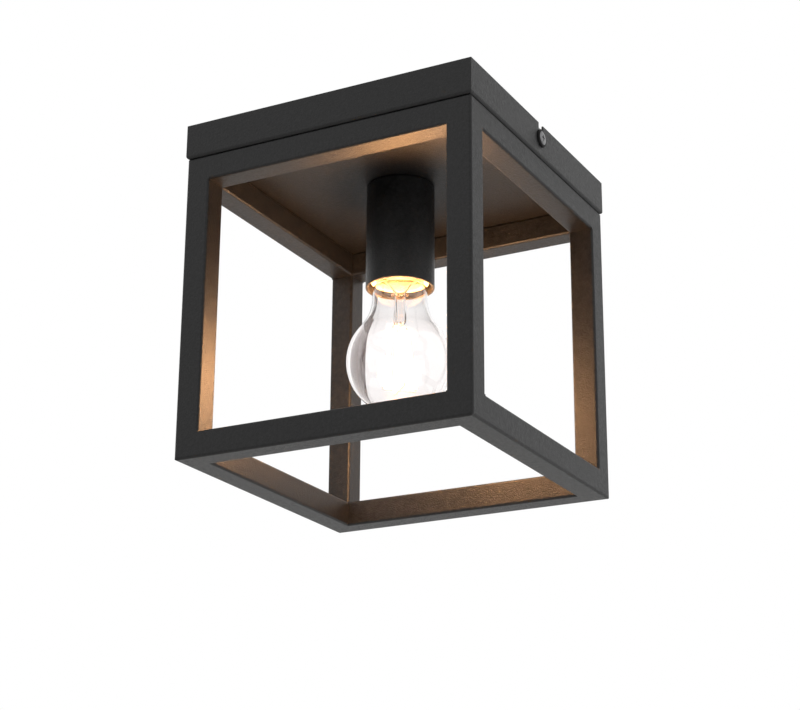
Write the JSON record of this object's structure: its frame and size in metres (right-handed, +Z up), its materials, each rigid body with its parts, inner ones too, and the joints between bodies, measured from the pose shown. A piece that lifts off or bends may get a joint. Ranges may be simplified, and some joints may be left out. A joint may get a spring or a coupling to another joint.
{
  "type": "ceiling lantern",
  "caption": "Open cage lantern of black square tube under a shallow canopy, with a clear screw-in globe lamp; it drops off its ceiling bracket when the side screws are loosened.",
  "frame": {"origin": "centre of the ceiling plane, on the top face of the bracket and the rim of the canopy", "axes": "+Z up into the ceiling, -Y the front of the cage, +X and -X the sides with the canopy's side screws"},
  "size_m": [0.1856, 0.1816, 0.2],
  "materials": {
    "black_powder_coat": "fine-textured matte powder coat",
    "black_oxide": "satin black",
    "zinc_steel": "bright zinc plate",
    "brass": "plain",
    "white_ceramic": "unglazed",
    "cream_plastic": "matte",
    "white_plastic": "matte",
    "black_glass_seal": "gloss",
    "nickel_cap": "nickel plate",
    "circuit_board": "matte",
    "clear_glass": "clear",
    "lit_filament": "lit",
    "nickel_wire": "plain"
  },
  "bodies": {
    "bracket": {"mounting_bracket": "zinc_steel", "bracket_nuts": "zinc_steel"},
    "right_washer": {"side_washer_right": "black_oxide"},
    "right_screw": {"side_screw_right": "zinc_steel"},
    "left_washer": {"side_washer_left": "black_oxide"},
    "left_screw": {"side_screw_left": "zinc_steel"},
    "bulb_foot": {"bulb_insulator": "black_glass_seal", "bulb_contact": "brass"},
    "bulb": {"bulb_glass": "clear_glass", "bulb_cap": "nickel_cap", "bulb_driver": "circuit_board", "bulb_stem": "clear_glass", "bulb_filaments": "lit_filament", "bulb_lead_wires": "nickel_wire", "bulb_support_wires": "nickel_wire"},
    "lantern": {"top_rail_front": "black_powder_coat", "top_rail_right": "black_powder_coat", "top_rail_back": "black_powder_coat", "top_rail_left": "black_powder_coat", "bottom_rail_front": "black_powder_coat", "bottom_rail_right": "black_powder_coat", "bottom_rail_back": "black_powder_coat", "bottom_rail_left": "black_powder_coat", "corner_post_front_left": "black_powder_coat", "corner_post_front_right": "black_powder_coat", "corner_post_back_right": "black_powder_coat", "corner_post_back_left": "black_powder_coat", "canopy": "black_powder_coat", "lampholder_cover": "black_powder_coat", "cage_screws": "zinc_steel", "cage_rivet_nuts": "zinc_steel", "nipple_lock_washer": "zinc_steel", "nipple_nut": "zinc_steel", "terminal_block_stud": "zinc_steel", "terminal_block_nut": "zinc_steel", "earth_stud": "zinc_steel", "earth_washer": "zinc_steel", "earth_nut": "zinc_steel", "holder_nipple": "brass", "lampholder_shell": "brass", "lampholder_contact": "brass", "lampholder_terminals": "brass", "lampholder_terminal_screws": "brass", "terminal_sleeves": "brass", "terminal_screws": "brass", "lampholder_insulator": "white_ceramic", "lampholder_dome": "cream_plastic", "lampholder_skirt": "cream_plastic", "terminal_block": "white_plastic"}
  },
  "joints": [
    {"name": "lantern_drop", "type": "slide", "parent": "bracket", "child": "lantern", "axis": [0, 0, -1], "range_m": [0, 0.03]},
    {"name": "side_screw_right_travel", "type": "slide", "parent": "bracket", "child": "right_washer", "axis": [1, 0, 0], "range_m": [0, 0.007]},
    {"name": "side_screw_right_turn", "type": "hinge", "parent": "right_washer", "child": "right_screw", "pos_m": [0.09075, 0, -0.009], "axis": [1, 0, 0], "range_deg": [0, 3600]},
    {"name": "side_screw_left_travel", "type": "slide", "parent": "bracket", "child": "left_washer", "axis": [-1, 0, 0], "range_m": [0, 0.007]},
    {"name": "side_screw_left_turn", "type": "hinge", "parent": "left_washer", "child": "left_screw", "pos_m": [-0.09075, 0, -0.009], "axis": [-1, 0, 0], "range_deg": [0, 3600]},
    {"name": "bulb_travel", "type": "slide", "parent": "lantern", "child": "bulb_foot", "axis": [0, 0, -1], "range_m": [0, 0.0218]},
    {"name": "bulb_turn", "type": "hinge", "parent": "bulb_foot", "child": "bulb", "pos_m": [0, 0, -0.0665], "axis": [0, 0, -1], "range_deg": [0, 2160]}
  ],
  "couplings": [
    {"joint": "side_screw_right_turn", "follows": "side_screw_right_travel", "rad_per_m": 8975},
    {"joint": "side_screw_left_turn", "follows": "side_screw_left_travel", "rad_per_m": 8975},
    {"joint": "bulb_travel", "follows": "bulb_turn", "m_per_rad": 0.00057757}
  ]
}
